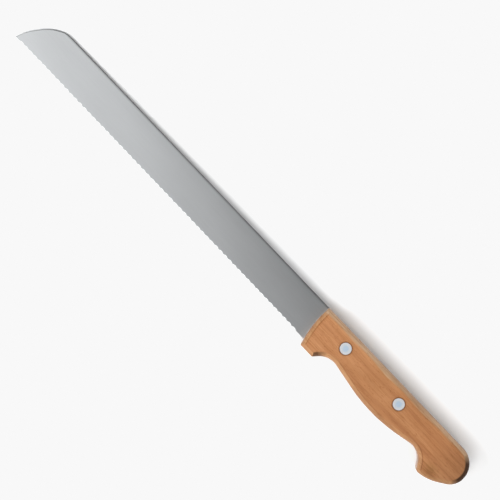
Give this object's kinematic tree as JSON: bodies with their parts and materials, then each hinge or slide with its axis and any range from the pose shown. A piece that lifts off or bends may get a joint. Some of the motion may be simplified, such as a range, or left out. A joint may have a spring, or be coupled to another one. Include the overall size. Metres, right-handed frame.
{
  "type": "bread knife",
  "caption": "Long straight serrated bread knife with a drooping rounded tip and a riveted wooden handle with finger guard and butt beak, for slicing loaves.",
  "frame": {"origin": "centre of the bounding box's bottom face, the knife lying flat on one side of its handle", "axes": "+X along the spine to the blade tip, +Y from the spine to the cutting edge, +Z square to the blade's flat sides, away from the ground side of the edge"},
  "size_m": [0.3806, 0.03, 0.018],
  "materials": {
    "blade_steel": "fine satin along the blade",
    "handle_wood": "sanded smooth, lightly oiled",
    "rivet_metal": "sanded flush, satin"
  },
  "bodies": {
    "root": {"blade": "blade_steel", "handle_scale_upper": "handle_wood", "handle_scale_lower": "handle_wood", "front_rivet_socket": "rivet_metal", "front_rivet_pin": "rivet_metal", "rear_rivet_socket": "rivet_metal", "rear_rivet_pin": "rivet_metal"}
  },
  "joints": []
}
